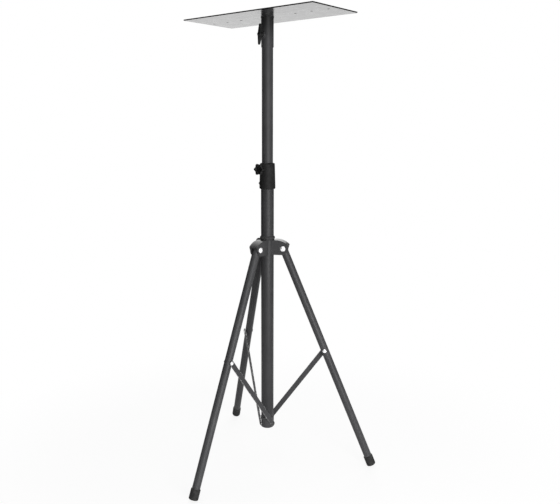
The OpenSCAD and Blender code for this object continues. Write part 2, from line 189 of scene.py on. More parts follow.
def startMaterial(name, shaderKind):
    mat = bpy.data.materials.new(name)
    mat.use_nodes = True
    tree = mat.node_tree
    tree.nodes.clear()
    out = addNode(tree, "ShaderNodeOutputMaterial")
    shader = addNode(tree, shaderKind)
    join(tree, shader.outputs[0], out.inputs["Surface"])
    return mat, tree, shader


# floor, white surroundings and soft lamps

stageSettings = {
    "floorSize": 14.0,
    "floorDrop": 0.0002,
    "floorTone": grey(0.92),         # as the camera sees it, with its shadows
    "floorBounce": grey(0.95),       # as it throws light back, near and far
    "floorEdgeBounce": grey(0.30),
    "floorGlow": 0.88,               # share of plain white in what the camera sees of the floor
    "floorSpan": (0.55, 1.25),       # between these reaches the floor fades to plain white
    "ambient": 0.04,
    "skyStrength": 1.3,              # soft light from straight above, for the floor
    "skySpread": 50.0,
    # dark cards beside and behind the stand: turn from the camera, width and height, tone
    "cards": {
        "leftCard": (-66.0, (3.6, 3.4), 0.012),
        "leftBackCard": (-134.0, (2.2, 1.2), 0.012),
        "rightBackCard": (132.0, (2.2, 3.4), 0.12),
    },
    "cardDistance": 1.9,
    "cardRough": 1.0,
}

fillLamp = {"height": 1.4, "distance": 3.0, "size": 2.4, "aim": 0.7, "inGloss": False}
# turn from the camera in degrees to the right, height, distance, size, power and the height that it aims at
lampSettings = {
    "keyLamp": {"turn": 18.0, "height": 0.9, "distance": 3.0, "size": 2.4, "power": 82.0, "aim": 0.7,
                "inGloss": True},
    # a small lamp near the floor, for the legs and the foot of the column
    "lowLamp": {"turn": 28.0, "height": 0.30, "distance": 1.7, "size": 0.9, "power": 11.0, "aim": 0.1,
                "inGloss": True},
    "backFill": {**fillLamp, "turn": 168.0, "power": 62.0},
    "leftFill": {**fillLamp, "turn": -125.0, "power": 7.0},
}


def makeWorld(s):
    world = bpy.data.worlds.new("studio")
    scene.world = world
    world.use_nodes = True
    tree = world.node_tree
    tree.nodes.clear()
    out = addNode(tree, "ShaderNodeOutputWorld")
    back = addNode(tree, "ShaderNodeBackground")
    setInputs(back, Color=grey(1.0))
    level = addNode(tree, "ShaderNodeMapRange")
    setInputs(level, To_Min=s["ambient"], To_Max=1.0)
    join(tree, lightPathWhite(tree), level.inputs["Value"])
    join(tree, level.outputs["Result"], back.inputs["Strength"])
    join(tree, back.outputs[0], out.inputs["Surface"])


def floorFinish(s):
    mat, tree, mix = startMaterial("paleFloor", "ShaderNodeMixShader")
    lit = addNode(tree, "ShaderNodeBsdfDiffuse")
    glow = addNode(tree, "ShaderNodeEmission")
    setInputs(glow, Color=grey(1.0), Strength=1.0)
    reach = addNode(tree, "ShaderNodeVectorMath", operation="LENGTH")
    join(tree, objectPlace(tree), reach.inputs[0])
    away = reach.outputs["Value"]
    seen = lightPathWhite(tree)
    fade = rampNode(tree, away, s["floorSpan"], (s["floorGlow"], 1.0))
    bounce = mixColor(tree, rampNode(tree, away, s["floorSpan"]), s["floorBounce"], s["floorEdgeBounce"])
    join(tree, mixColor(tree, seen, bounce, s["floorTone"]), lit.inputs["Color"])
    join(tree, mathNode(tree, "MULTIPLY", seen, fade), mix.inputs[0])
    join(tree, lit.outputs[0], mix.inputs[1])
    join(tree, glow.outputs[0], mix.inputs[2])
    return mat


def makeFloor(s):
    bm = bmesh.new()
    bmesh.ops.create_grid(bm, x_segments=1, y_segments=1, size=s["floorSize"] / 2)
    bmesh.ops.translate(bm, verts=bm.verts, vec=(0, 0, -s["floorDrop"]))
    floor = meshObject(bm, "floor")
    floor.data.materials.append(floorFinish(s))


def makeLamp(name, s):
    lamp = bpy.data.lights.new(name, "AREA")
    lamp.shape = "DISK"
    lamp.size = s["size"]
    lamp.energy = s["power"]
    made = bpy.data.objects.new(name, lamp)
    scene.collection.objects.link(made)
    place = placeRound(cameraSettings["azimuth"] + s["turn"], s["distance"], s["height"])
    target = Vector((0.0, 0.0, s["aim"]))
    made.location = place
    made.rotation_mode = "QUATERNION"
    made.rotation_quaternion = (target - place).to_track_quat("-Z", "Y")
    made.visible_glossy = s["inGloss"]


def makeSky(s):
    sky = bpy.data.lights.new("skyLamp", "SUN")
    sky.energy = s["skyStrength"]
    sky.angle = math.radians(s["skySpread"])
    scene.collection.objects.link(bpy.data.objects.new("skyLamp", sky))


def makeCard(name, s):
    # gives the tubes their dark sides, hidden from the camera and without a shadow
    turn, (width, height), tone = s["cards"][name]
    turn += cameraSettings["azimuth"]
    upright = Matrix.Rotation(math.radians(90.0), 3, "X")
    around = Matrix.Rotation(math.radians(turn), 3, "Z")
    bm = bmesh.new()
    bmesh.ops.create_grid(bm, x_segments=1, y_segments=1, size=0.5)
    bmesh.ops.scale(bm, vec=(width, height, 1.0), verts=bm.verts)
    bmesh.ops.rotate(bm, cent=(0, 0, 0), matrix=upright, verts=bm.verts)
    bmesh.ops.rotate(bm, cent=(0, 0, 0), matrix=around, verts=bm.verts)
    bmesh.ops.translate(bm, vec=placeRound(turn, s["cardDistance"], height / 2), verts=bm.verts)
    card = meshObject(bm, name)
    mat, tree, shader = startMaterial(name, "ShaderNodeBsdfPrincipled")
    setInputs(shader, Base_Color=grey(tone), Roughness=s["cardRough"])
    card.data.materials.append(mat)
    card.visible_camera = False
    card.visible_shadow = False


makeWorld(stageSettings)
makeFloor(stageSettings)
for name, settings in lampSettings.items():
    makeLamp(name, settings)
makeSky(stageSettings)
for name in stageSettings["cards"]:
    makeCard(name, stageSettings)
print("stage lit")

# shared surface effects
# a noise is its scale, detail and roughness, and a span is where a ramp starts and ends

colorSockets = ("Color", "Tone", "Light Tone", "Bare", "Dust", "Worn")


def newGroup(name, inputs, outputs):
    tree = bpy.data.node_groups.new(name, "ShaderNodeTree")
    for side, labels in (("INPUT", inputs), ("OUTPUT", outputs)):
        for label in labels:
            kind = "NodeSocketColor" if label in colorSockets else "NodeSocketFloat"
            tree.interface.new_socket(name=label, in_out=side, socket_type=kind)
    return tree, addNode(tree, "NodeGroupInput").outputs, addNode(tree, "NodeGroupOutput").inputs


skinSettings = {
    "cloudNoise": (7.0, 4.0, 0.55),
    "cloudSpan": (0.32, 0.70),
    "speckNoise": (1400.0, 2.0, 0.6),
    "speckShare": 0.16,               # of the tone, half of it darker and half lighter
    "speckSpan": (0.3, 0.7),
    "speckGloss": (-0.012, 0.012),
    "patchNoise": (34.0, 3.0, 0.6),
    "patchSpan": (0.3, 0.7),
    "patchGloss": (-0.03, 0.04),
    "peelDetail": 1.5,
    "peelRough": 0.4,
}


def paintSkinGroup(s):
    # cloudy tone, small gloss changes and the orange peel of sprayed paint
    tree, given, out = newGroup("paintSkin", ("Tone", "Light Tone", "Gloss", "Peel Scale"),
                                ("Color", "Roughness", "Height"))
    place = objectPlace(tree)
    cloud = rampNode(tree, noiseNode(tree, place, s["cloudNoise"]), s["cloudSpan"])
    speck = noiseNode(tree, place, s["speckNoise"])
    shift = mathNode(tree, "MULTIPLY_ADD", speck, s["speckShare"], -s["speckShare"] / 2)
    blend = mathNode(tree, "ADD", cloud, shift, clamp=True)
    join(tree, mixColor(tree, blend, given["Tone"], given["Light Tone"]), out["Color"])
    patch = rampNode(tree, noiseNode(tree, place, s["patchNoise"]), s["patchSpan"], s["patchGloss"])
    fine = rampNode(tree, speck, s["speckSpan"], s["speckGloss"])
    rough = mathNode(tree, "ADD", given["Gloss"], patch)
    join(tree, mathNode(tree, "ADD", rough, fine, clamp=True), out["Roughness"])
    peel = noiseNode(tree, place, (given["Peel Scale"], s["peelDetail"], s["peelRough"]))
    join(tree, peel, out["Height"])
    return tree


rubSettings = {
    "breakNoise": (160.0, 5.0, 0.65),
    "breakSpan": (0.44, 0.62),
    "roughens": 0.12,
}


def edgeRubGroup(s):
    # paint rubbed thin along the rounded edges, broken up by noise; on the braces it is also a painted
    # highlight
    tree, given, out = newGroup("edgeRub", ("Color", "Bare", "Roughness", "Amount"), ("Color", "Roughness"))
    edge = addNode(tree, "ShaderNodeAttribute", attribute_name="edge").outputs["Fac"]
    broken = rampNode(tree, noiseNode(tree, objectPlace(tree), s["breakNoise"]), s["breakSpan"])
    mask = mathNode(tree, "MULTIPLY", mathNode(tree, "MULTIPLY", edge, broken), given["Amount"])
    join(tree, mixColor(tree, mask, given["Color"], given["Bare"]), out["Color"])
    join(tree, mathNode(tree, "MULTIPLY_ADD", mask, s["roughens"], given["Roughness"]), out["Roughness"])
    return tree


dustSettings = {
    "upSpan": (0.35, 1.0),
    "driftNoise": (60.0, 6.0, 0.7),
    "driftSpan": (0.35, 0.75),
    "dulls": 0.5,
}


def settledDustGroup(s):
    # a thin grey film on faces that look up; laid on thicker on the arms, where it is partly painted light
    # from above
    tree, given, out = newGroup("settledDust", ("Color", "Dust", "Roughness", "Amount"),
                                ("Color", "Roughness"))
    upward = rampNode(tree, upPart(tree, surfaceNormal(tree)), s["upSpan"])
    drift = rampNode(tree, noiseNode(tree, objectPlace(tree), s["driftNoise"]), s["driftSpan"])
    mask = mathNode(tree, "MULTIPLY", mathNode(tree, "MULTIPLY", upward, drift), given["Amount"])
    join(tree, mixColor(tree, mask, given["Color"], given["Dust"]), out["Color"])
    join(tree, mathNode(tree, "MULTIPLY_ADD", mask, s["dulls"], given["Roughness"]), out["Roughness"])
    return tree


slideSettings = {
    "squeeze": (420.0, 420.0, 5.0),    # fine across the tube, long along it
    "lineNoise": (1.0, 3.0, 0.6),
    "lineSpan": (0.60, 0.70),
    "zoneNoise": (16.0, 2.0, 0.5),
    "zoneSpan": (0.45, 0.65),
}


def slideMarksGroup(s):
    # fine upright scratches that a clamp leaves on a sliding tube
    tree, given, out = newGroup("slideMarks", ("Amount",), ("Mask",))
    place = objectPlace(tree)
    spread = addNode(tree, "ShaderNodeVectorMath", operation="MULTIPLY")
    feed(tree, place, spread.inputs[0])
    feed(tree, s["squeeze"], spread.inputs[1])
    lines = rampNode(tree, noiseNode(tree, spread.outputs[0], s["lineNoise"]), s["lineSpan"])
    zone = rampNode(tree, noiseNode(tree, place, s["zoneNoise"]), s["zoneSpan"])
    mask = mathNode(tree, "MULTIPLY", mathNode(tree, "MULTIPLY", lines, zone), given["Amount"])
    join(tree, mask, out["Mask"])
    return tree


grainSettings = {
    "handledNoise": (55.0, 4.0, 0.6),
    "handledSpan": (0.40, 0.75),
    "handledGloss": -0.10,             # change of roughness where hands have polished it
    "gritSpan": (0.0, 0.7),
    "gritShare": (0.0, 0.25),          # what the grain adds to the worn tone
}


def mouldGrainGroup(s):
    # spark-eroded mould texture with a slow tone change, for plastic and rubber
    tree, given, out = newGroup("mouldGrain", ("Tone", "Worn", "Gloss", "Grain Scale"),
                                ("Color", "Roughness", "Height"))
    place = objectPlace(tree)
    cell = addNode(tree, "ShaderNodeTexVoronoi", feature="SMOOTH_F1")
    join(tree, place, cell.inputs["Vector"])
    join(tree, given["Grain Scale"], cell.inputs["Scale"])
    handled = rampNode(tree, noiseNode(tree, place, s["handledNoise"]), s["handledSpan"])
    grit = rampNode(tree, cell.outputs["Distance"], s["gritSpan"], s["gritShare"])
    blend = mathNode(tree, "ADD", handled, grit, clamp=True)
    join(tree, mixColor(tree, blend, given["Tone"], given["Worn"]), out["Color"])
    join(tree, mathNode(tree, "MULTIPLY_ADD", handled, s["handledGloss"], given["Gloss"]), out["Roughness"])
    join(tree, cell.outputs["Distance"], out["Height"])
    return tree


effects = (paintSkinGroup(skinSettings), edgeRubGroup(rubSettings), settledDustGroup(dustSettings),
           slideMarksGroup(slideSettings), mouldGrainGroup(grainSettings))
groups = {effect.name: effect for effect in effects}
print("surface effects:", ", ".join(groups))

# finishes


def useGroup(tree, name, **values):
    made = addNode(tree, "ShaderNodeGroup", node_tree=groups[name])
    setInputs(made, **values)
    return made


def addWear(tree, shader, color, rough, bare, s):
    # settled dust, then rubbed edges, over a clean skin
    film = useGroup(tree, "settledDust", Dust=s["dust"], Amount=s["dusting"])
    edge = useGroup(tree, "edgeRub", Bare=bare, Amount=s["rub"])
    for label, source, target in (("Color", color, "Base Color"), ("Roughness", rough, "Roughness")):
        join(tree, source, film.inputs[label])
        join(tree, film.outputs[label], edge.inputs[label])
        join(tree, edge.outputs[label], shader.inputs[target])


def addBump(tree, shader, height, distance, strength):
    bump = addNode(tree, "ShaderNodeBump")
    setInputs(bump, Distance=distance, Strength=strength)
    join(tree, height, bump.inputs["Height"])
    join(tree, bump.outputs["Normal"], shader.inputs["Normal"])


plainPaint = {
    "tone": (0.044, 0.044, 0.046, 1.0),
    "lightTone": (0.056, 0.056, 0.058, 1.0),
    "bare": grey(0.34),
    "rub": 0.55,             # how far the edges are rubbed
    "dust": (0.22, 0.22, 0.21, 1.0),
    "dusting": 0.12,         # how much dust has settled
    "slides": 0.0,           # scratches from sliding
    "gloss": 0.38,
    "ior": 1.22,
    "coat": 0.0,
    "coatIor": 1.28,
    "coatRough": 0.12,
    "peelScale": 480.0,
    "peelDepth": 0.00003,
    "peelStrength": 0.25,
}
paintSettings = {
    "charcoalPaint": plainPaint,
    "mastPaint": {**plainPaint, "slides": 0.05},
    "columnPaint": {**plainPaint, "tone": (0.033, 0.033, 0.0345, 1.0),
                    "lightTone": (0.042, 0.042, 0.0435, 1.0)},
    # the braces' edges are rubbed lighter all along: thin paint, and also a painted highlight where the edges
    # catch the light
    "bracePaint": {**plainPaint, "bare": grey(0.52), "rub": 1.0},
    # the plate came glossier out of the spray booth
    "glossPaint": {**plainPaint, "rub": 0.1, "gloss": 0.30, "ior": 1.36, "coat": 1.0, "coatIor": 1.41,
                   "coatRough": 0.18, "peelScale": 160.0, "peelDepth": 0.000003},
    # on the arms the spray flows out smoother on faces that look up; their heavier dusting makes those tops
    # paler, partly settled dust and partly painted light from above
    "armPaint": {**plainPaint, "tone": (0.036, 0.036, 0.0375, 1.0), "lightTone": (0.045, 0.045, 0.0465, 1.0),
                 "dusting": 0.4, "gloss": 0.30, "ior": 1.28, "coatIor": 1.8, "topCoat": 1.0,
                 "topSpan": (0.70, 0.97)},
    # painted shade: the socket's colour darkens toward the plate, standing in for the plate's shadow, between
    # these heights
    "socketShadedPaint": {**plainPaint, "plateShadeTone": (0.017, 0.017, 0.0175, 1.0), "plateShadeSpan": (1.355, 1.44)},
}


def paintFinish(name, s):
    mat, tree, shader = startMaterial(name, "ShaderNodeBsdfPrincipled")
    skin = useGroup(tree, "paintSkin", Tone=s["tone"], Light_Tone=s["lightTone"], Gloss=s["gloss"],
                    Peel_Scale=s["peelScale"])
    color = skin.outputs["Color"]
    if s["slides"]:
        marks = useGroup(tree, "slideMarks", Amount=s["slides"])
        color = mixColor(tree, marks.outputs["Mask"], color, s["bare"])
    # painted shade under the plate: darker toward it
    if "plateShadeTone" in s:
        level = rampNode(tree, upPart(tree, objectPlace(tree)), s["plateShadeSpan"])
        color = mixColor(tree, level, color, s["plateShadeTone"])
    addWear(tree, shader, color, skin.outputs["Roughness"], s["bare"], s)
    setInputs(shader, IOR=s["ior"], Coat_Weight=s["coat"], Coat_IOR=s["coatIor"],
              Coat_Roughness=s["coatRough"])
    if "topCoat" in s:
        top = rampNode(tree, upPart(tree, surfaceNormal(tree)), s["topSpan"], (0.0, s["topCoat"]))
        join(tree, top, shader.inputs["Coat Weight"])
    addBump(tree, shader, skin.outputs["Height"], s["peelDepth"], s["peelStrength"])
    return mat


blackPlastic = {
    "tone": grey(0.013),
    "worn": grey(0.019),
    "rub": 0.35,
    "dust": grey(0.09),
    "dusting": 0.15,
    "gloss": 0.56,
    "ior": 1.16,
    "grainScale": 1500.0,
    "grainDepth": 0.00005,
    "grainStrength": 0.5,
}
mouldSettings = {
    "mouldedBlack": blackPlastic,
    "bushPlastic": {**blackPlastic, "tone": (0.040, 0.040, 0.041, 1.0), "worn": grey(0.055)},
    "knobPlastic": {**blackPlastic, "tone": grey(0.004), "worn": grey(0.008), "gloss": 0.40, "ior": 1.30},
    # near-black matt on the rim and in the holes of the plate: painted shade
    "rimHoleShade": {**blackPlastic, "tone": grey(0.003), "worn": grey(0.006), "gloss": 0.85, "ior": 1.08,
                 "rub": 0.1, "dusting": 0.02},
    "footRubber": {**blackPlastic, "tone": grey(0.016), "worn": (0.028, 0.028, 0.027, 1.0), "rub": 0.3,
                   "dust": (0.12, 0.12, 0.11, 1.0), "dusting": 0.4, "gloss": 0.72, "ior": 1.25,
                   "grainScale": 900.0, "grainDepth": 0.00008},
    "nylonPad": {**blackPlastic, "tone": (0.68, 0.66, 0.60, 1.0), "worn": (0.52, 0.50, 0.45, 1.0), "rub": 0.2,
                 "dust": (0.4, 0.4, 0.38, 1.0), "dusting": 0.1, "gloss": 0.5, "ior": 1.5,
                 "grainScale": 1200.0, "grainDepth": 0.00003},
}


def mouldedFinish(name, s):
    mat, tree, shader = startMaterial(name, "ShaderNodeBsdfPrincipled")
    skin = useGroup(tree, "mouldGrain", Tone=s["tone"], Worn=s["worn"], Gloss=s["gloss"],
                    Grain_Scale=s["grainScale"])
    addWear(tree, shader, skin.outputs["Color"], skin.outputs["Roughness"], s["dust"], s)
    setInputs(shader, IOR=s["ior"])
    addBump(tree, shader, skin.outputs["Height"], s["grainDepth"], s["grainStrength"])
    return mat


plainMetal = {
    "stainNoise": (420.0, 4.0, 0.6),
    "stainSpan": (0.42, 0.72),
    "stainDulls": 0.12,
    "turningNoise": (2600.0, 2.0, 0.5),
    "turningSpan": (0.3, 0.7),
    "turningGloss": (-0.05, 0.07),
    "turningDepth": 0.00002,
    "turningStrength": 0.4,
}
metalSettings = {
    "brightZinc": {**plainMetal, "tone": (0.93, 0.93, 0.94, 1.0), "dull": (0.82, 0.82, 0.83, 1.0),
                   "gloss": 0.42, "metal": 0.55},
    "blackenedSteel": {**plainMetal, "tone": grey(0.014), "dull": grey(0.03), "gloss": 0.38, "metal": 0.0},
    "turnedBrass": {**plainMetal, "tone": (0.78, 0.60, 0.26, 1.0), "dull": (0.55, 0.40, 0.17, 1.0),
                    "gloss": 0.30, "metal": 1.0},
}


def metalFinish(name, s):
    mat, tree, shader = startMaterial(name, "ShaderNodeBsdfPrincipled")
    place = objectPlace(tree)
    stain = rampNode(tree, noiseNode(tree, place, s["stainNoise"]), s["stainSpan"])
    join(tree, mixColor(tree, stain, s["tone"], s["dull"]), shader.inputs["Base Color"])
    fine = noiseNode(tree, place, s["turningNoise"])
    rough = rampNode(tree, fine, s["turningSpan"], [s["gloss"] + change for change in s["turningGloss"]])
    dulled = mathNode(tree, "MULTIPLY_ADD", stain, s["stainDulls"], rough)
    join(tree, dulled, shader.inputs["Roughness"])
    setInputs(shader, Metallic=s["metal"])
    addBump(tree, shader, fine, s["turningDepth"], s["turningStrength"])
    return mat


looks = {
    **{name: paintFinish(name, settings) for name, settings in paintSettings.items()},
    **{name: mouldedFinish(name, settings) for name, settings in mouldSettings.items()},
    **{name: metalFinish(name, settings) for name, settings in metalSettings.items()},
}
print("finishes:", ", ".join(looks))

slotLook = {
    "dark_paint": "charcoalPaint",
    "black_plastic": "mouldedBlack",
    "black_steel": "blackenedSteel",
    "zinc_steel": "brightZinc",
    "foot_rubber": "footRubber",
    "insert_brass": "turnedBrass",
    "pad_nylon": "nylonPad",
}
ownLook = {
    "mast_tube": "mastPaint",
    "column_tube": "columnPaint",
    "hub_sleeve": "columnPaint",
    "plate_socket": "socketShadedPaint",
    "top_plate": "glossPaint",
    "hub_bush": "bushPlastic",
    "star_knob": "knobPlastic",
    "hub_knob": "knobPlastic",
    "wing_knob": "knobPlastic",
    **{"hub_arm_" + leg: "armPaint" for leg in legAzimuth},
    **{"brace_" + leg: "bracePaint" for leg in legAzimuth},
}


def lookOf(nodeName):
    return ownLook.get(nodeName, slotLook[slotOf[nodeName]])


for name, part in nodes.items():
    part.data.materials.clear()
    part.data.materials.append(looks[lookOf(name)])
print("finishes set on", len(nodes), "nodes")

# pieces that stand for plain solids

copySettings = {
    "weldGap": 1e-6,
    "flatAngle": 0.5,      # degrees, faces that lie flatter than this to each other become one
    "sharpAngle": 38.0,    # degrees, edges past this stay sharp in a finished piece
}


def keepPiece(bm, name, body, look, stands=(), sharp=copySettings["sharpAngle"]):
    for face in bm.faces:
        face.smooth = True
    for edge in bm.edges:
        edge.smooth = len(edge.link_faces) == 2 and edge.calc_face_angle(0.0) < math.radians(sharp)
    piece = meshObject(bm, name)
    piece.data.materials.append(looks[look])
    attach(piece, body)
    if stands:
        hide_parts(*stands)
    return piece


def standIn(bm, name, nodeName, sharp=copySettings["sharpAngle"]):
    return keepPiece(bm, name, bodyOf[nodeName], lookOf(nodeName), (nodeName,), sharp)


def evenShading(piece):
    even = piece.modifiers.new("evenShading", "WEIGHTED_NORMAL")
    even.keep_sharp = True


def fuseShells(piece, voxel, passes, softness=0.5):
    # one skin over overlapping shells, with soft inner corners
    fuse = piece.modifiers.new("fuse", "REMESH")
    fuse.mode = "VOXEL"
    fuse.voxel_size = voxel
    fuse.use_smooth_shade = True
    soft = piece.modifiers.new("soften", "SMOOTH")
    soft.factor = softness
    soft.iterations = passes
    made = bpy.data.meshes.new_from_object(piece.evaluated_get(bpy.context.evaluated_depsgraph_get()))
    piece.modifiers.clear()
    rough, piece.data = piece.data, made
    made.name = piece.name
    bpy.data.meshes.remove(rough)


def acrossAt(azimuth):
    a = math.radians(azimuth)
    return Vector((-math.sin(a), math.cos(a), 0.0))


def facing(azimuth, height):
    # local X across, local Y up, local Z outwards along an azimuth from +X
    a = math.radians(azimuth)
    turn = Matrix((
        (-math.sin(a), 0, math.cos(a), 0),
        (math.cos(a), 0, math.sin(a), 0),
        (0, 1, 0, 0),
        (0, 0, 0, 1),
    ))
    return Matrix.Translation((0, 0, height)) @ turn


def facingKnob(nodeName):
    # the same along a knob's own screw
    x, y, height = jointPlace[nodeName + "_turn"]
    return facing(math.degrees(math.atan2(y, x)), height)


def mergedCopy(nodeName):
    bm = bmesh.new()
    bm.from_mesh(nodes[nodeName].data)
    bmesh.ops.remove_doubles(bm, verts=bm.verts, dist=copySettings["weldGap"])
    flat = math.radians(copySettings["flatAngle"])
    bmesh.ops.dissolve_limit(bm, angle_limit=flat, verts=bm.verts, edges=bm.edges)
    return bm


def roundEdges(bm, edges, width, segments, slot=None, clamp=True):
    made = bmesh.ops.bevel(bm, geom=edges, offset=width, offset_type="OFFSET", segments=segments, profile=0.5,
                           affect="EDGES", clamp_overlap=clamp, material=-1)["faces"]
    if slot is not None:
        for face in made:
            face.material_index = slot
    return made


def markEdge(faces, mark):
    # here the paint may be rubbed
    for face in faces:
        for loop in face.loops:
            loop[mark] = 1.0


def sharpEdges(bm, angle):
    return [e for e in bm.edges if len(e.link_faces) == 2 and e.calc_face_angle(0.0) > math.radians(angle)]


def outerEdges(bm, angle):
    return [e for e in sharpEdges(bm, angle) if e.calc_face_angle_signed(0.0) > 0]


# sheet steel with rolled edges: plate, braces, the cup under the column and the socket

sheetSettings = {
    "top_plate": {"piece": "plateSheet", "edge": 0.0007, "segments": 3, "holeRow": 0.01, "holeEnd": 0.24,
                  "holeEdge": 0.0016},
    **{"brace_" + leg: {"piece": "braceBar" + leg.capitalize(), "edge": 0.0006, "segments": 2,
                        "azimuth": azimuth} for leg, azimuth in legAzimuth.items()},
    "base_cup": {"piece": "columnCup", "edge": 0.0009, "segments": 3},
    "plate_socket": {"piece": "socketTube", "edge": 0.0005, "segments": 2},
}
sheetShared = {
    "sharp": 50.0,       # degrees, edges past this are rolled
    "wallSlope": 0.5,    # faces of the plate with less of their normal upright are its rim and hole walls
    "cutSlope": 0.3,     # faces of a brace with less of their normal across it are its cut edges
}
plateSlots = {"underside": 0, "rim": 1, "top": 2}


def plateFaces(bm, s):
    holeWalls = []
    for face in bm.faces:
        if abs(face.normal.z) < sheetShared["wallSlope"]:
            face.material_index = plateSlots["rim"]
            spot = face.calc_center_median()
            if abs(spot.y) < s["holeRow"] and abs(spot.x) < s["holeEnd"]:
                holeWalls.append(face)
        else:
            face.material_index = plateSlots["top" if face.normal.z > 0 else "underside"]
    return holeWalls


def sheetPiece(nodeName, s):
    bm = mergedCopy(nodeName)
    mark = bm.loops.layers.float.new("edge")
    rimSlot = None
    # the rim and the hole walls, with their rounded edges, are coloured near black as painted shade
    if "holeEdge" in s:
        rimSlot = plateSlots["rim"]
        walls = {e for face in plateFaces(bm, s) for e in face.edges}
        rims = [e for e in sharpEdges(bm, sheetShared["sharp"]) if e in walls]
        roundEdges(bm, rims, s["holeEdge"], s["segments"], rimSlot)
    if "azimuth" in s:
        # the paint lies thin on the cut edges, and their lighter colour is also a painted highlight
        across = acrossAt(s["azimuth"])
        markEdge([f for f in bm.faces if abs(f.normal.dot(across)) < sheetShared["cutSlope"]], mark)
    rolled = roundEdges(bm, sharpEdges(bm, sheetShared["sharp"]), s["edge"], s["segments"], rimSlot)
    markEdge(rolled, mark)
    piece = standIn(bm, s["piece"], nodeName)
    if rimSlot:
        # in the order of plateSlots, after the underside: the painted shade of the rim and holes, then the
        # top
        piece.data.materials.append(looks["rimHoleShade"])
        piece.data.materials.append(looks["charcoalPaint"])
    evenShading(piece)


for name, settings in sheetSettings.items():
    sheetPiece(name, settings)
print("rolled sheet edges:", len(sheetSettings), "pieces")

# pressed hub arms with drawn shoulders

armSettings = {
    "shoulder": 0.0034,
    "shoulderSteps": 5,
    "lip": 0.0005,
    "lipSteps": 2,
    "sharp": 60.0,         # degrees, outer edges past this are rounded
    "backWidth": 0.02,     # faces wider than this are the arched back
    "backSlope": 0.2,      # most of its normal that lies across the arm
    "cheekSlope": 0.9,     # least of a cheek's
}


def armPiece(leg, s):
    nodeName = "hub_arm_" + leg
    across = acrossAt(legAzimuth[leg])
    bm = mergedCopy(nodeName)
    mark = bm.loops.layers.float.new("edge")

    def isBack(face):
        spread = [v.co.dot(across) for v in face.verts]
        return max(spread) - min(spread) > s["backWidth"] and abs(face.normal.dot(across)) < s["backSlope"]

    def isCheek(face):
        return abs(face.normal.dot(across)) > s["cheekSlope"]

    shoulders = [e for e in outerEdges(bm, s["sharp"])
                 if any(isBack(f) for f in e.link_faces) and any(isCheek(f) for f in e.link_faces)]
    count = len(shoulders)
    markEdge(roundEdges(bm, shoulders, s["shoulder"], s["shoulderSteps"]), mark)
    markEdge(roundEdges(bm, outerEdges(bm, s["sharp"]), s["lip"], s["lipSteps"]), mark)
    evenShading(standIn(bm, "armPressing" + leg.capitalize(), nodeName))
    return count


print("hub arms, shoulder edges:", [armPiece(leg, armSettings) for leg in legAzimuth])

# lobed hand knobs, turned loop by loop from the dished face to the stud bore

knobSettings = {
    "star_knob": {"piece": "starGrip", "across": 0.038, "thick": 0.010, "neckStart": 0.0300, "neck": 0.0150,
                  "bore": 0.00804, "boreEnd": 0.042},
    "hub_knob": {"piece": "hubGrip", "across": 0.034, "thick": 0.011, "neckStart": 0.0328, "neck": 0.0130,
                 "bore": 0.00604, "boreEnd": 0.0434},
}
knobShared = {
    "lobes": 6,
    "lobeHalf": (1.0, 0.994, 0.975, 0.935, 0.872, 0.822, 0.795, 0.783, 0.780),    # from a tip to a valley
    # pairs of a distance and a depth: out from the dish's edge, in from the outline, out from the neck
    "dish": ((-0.0006, 0.0018), (0.0, 0.0013), (0.0002, 0.0005), (0.0008, 0.0)),
    "rim": ((0.0030, 0.0), (0.0014, 0.0003), (0.0004, 0.0012), (0.0, 0.0026)),
    "flare": ((0.0012, 0.0), (0.0003, 0.0006), (0.0, 0.0014)),
    "chamfer": 0.0004,
    "sharp": 60.0,         # degrees
}


def knobLoops(s, shared, back):
    # each loop: whether it is lobed, its radius or its inset from the outline, its place along the screw
    front = back + s["thick"]
    dishEdge, neck, bore = s["across"] / 4, s["neck"] / 2, s["bore"] / 2
    start, chamfer = s["neckStart"], shared["chamfer"]
    return [
        *((False, dishEdge + out, front - deep) for out, deep in shared["dish"]),
        *((True, inset, front - deep) for inset, deep in shared["rim"]),
        *((True, inset, back + deep) for inset, deep in reversed(shared["rim"])),
        *((False, neck + out, back - deep) for out, deep in shared["flare"]),
        (False, neck, start + chamfer),
        (False, neck - chamfer, start),
        (False, bore, start),
        (False, bore, s["boreEnd"]),
    ]


def knobPiece(nodeName, s, shared):
    x, y = jointPlace[nodeName + "_turn"][:2]
    loops = knobLoops(s, shared, math.hypot(x, y))
    shape = shared["lobeHalf"] + shared["lobeHalf"][-2:0:-1]    # from a tip to the next one
    count = shared["lobes"] * len(shape)
    bm = bmesh.new()
    size, place = loops[0][1:]
    bmesh.ops.create_circle(bm, cap_ends=True, radius=size, segments=count)
    bmesh.ops.translate(bm, verts=bm.verts, vec=(0, 0, place))
    edges = list(bm.edges)
    radius = [size] * len(shape)
    for lobed, size, place in loops[1:]:
        made = bmesh.ops.extrude_edge_only(bm, edges=edges)["geom"]
        edges = [g for g in made if isinstance(g, bmesh.types.BMEdge) and g.is_boundary]
        verts = [g for g in made if isinstance(g, bmesh.types.BMVert)]
        for k in range(len(shape)):
            group = [v for v in verts
                     if round(math.atan2(v.co.y, v.co.x) / (2 * math.pi) * count) % len(shape) == k]
            target = s["across"] / 2 * shape[k] - size if lobed else size
            bmesh.ops.scale(bm, vec=(target / radius[k], target / radius[k], 1.0), verts=group)
            radius[k] = target
        bmesh.ops.translate(bm, verts=verts, vec=(0, 0, place - verts[0].co.z))
    bmesh.ops.edgeloop_fill(bm, edges=edges)
    bmesh.ops.recalc_face_normals(bm, faces=bm.faces)
    bmesh.ops.transform(bm, matrix=facingKnob(nodeName), verts=bm.verts)
    piece = standIn(bm, s["piece"], nodeName, shared["sharp"])
    fine = piece.modifiers.new("fine", "SUBSURF")
    fine.levels = fine.render_levels = 1


for name, settings in knobSettings.items():
    knobPiece(name, settings, knobShared)
print("lobed knobs done")

# wing knob: tapered hub and two leaf wings under one moulded skin

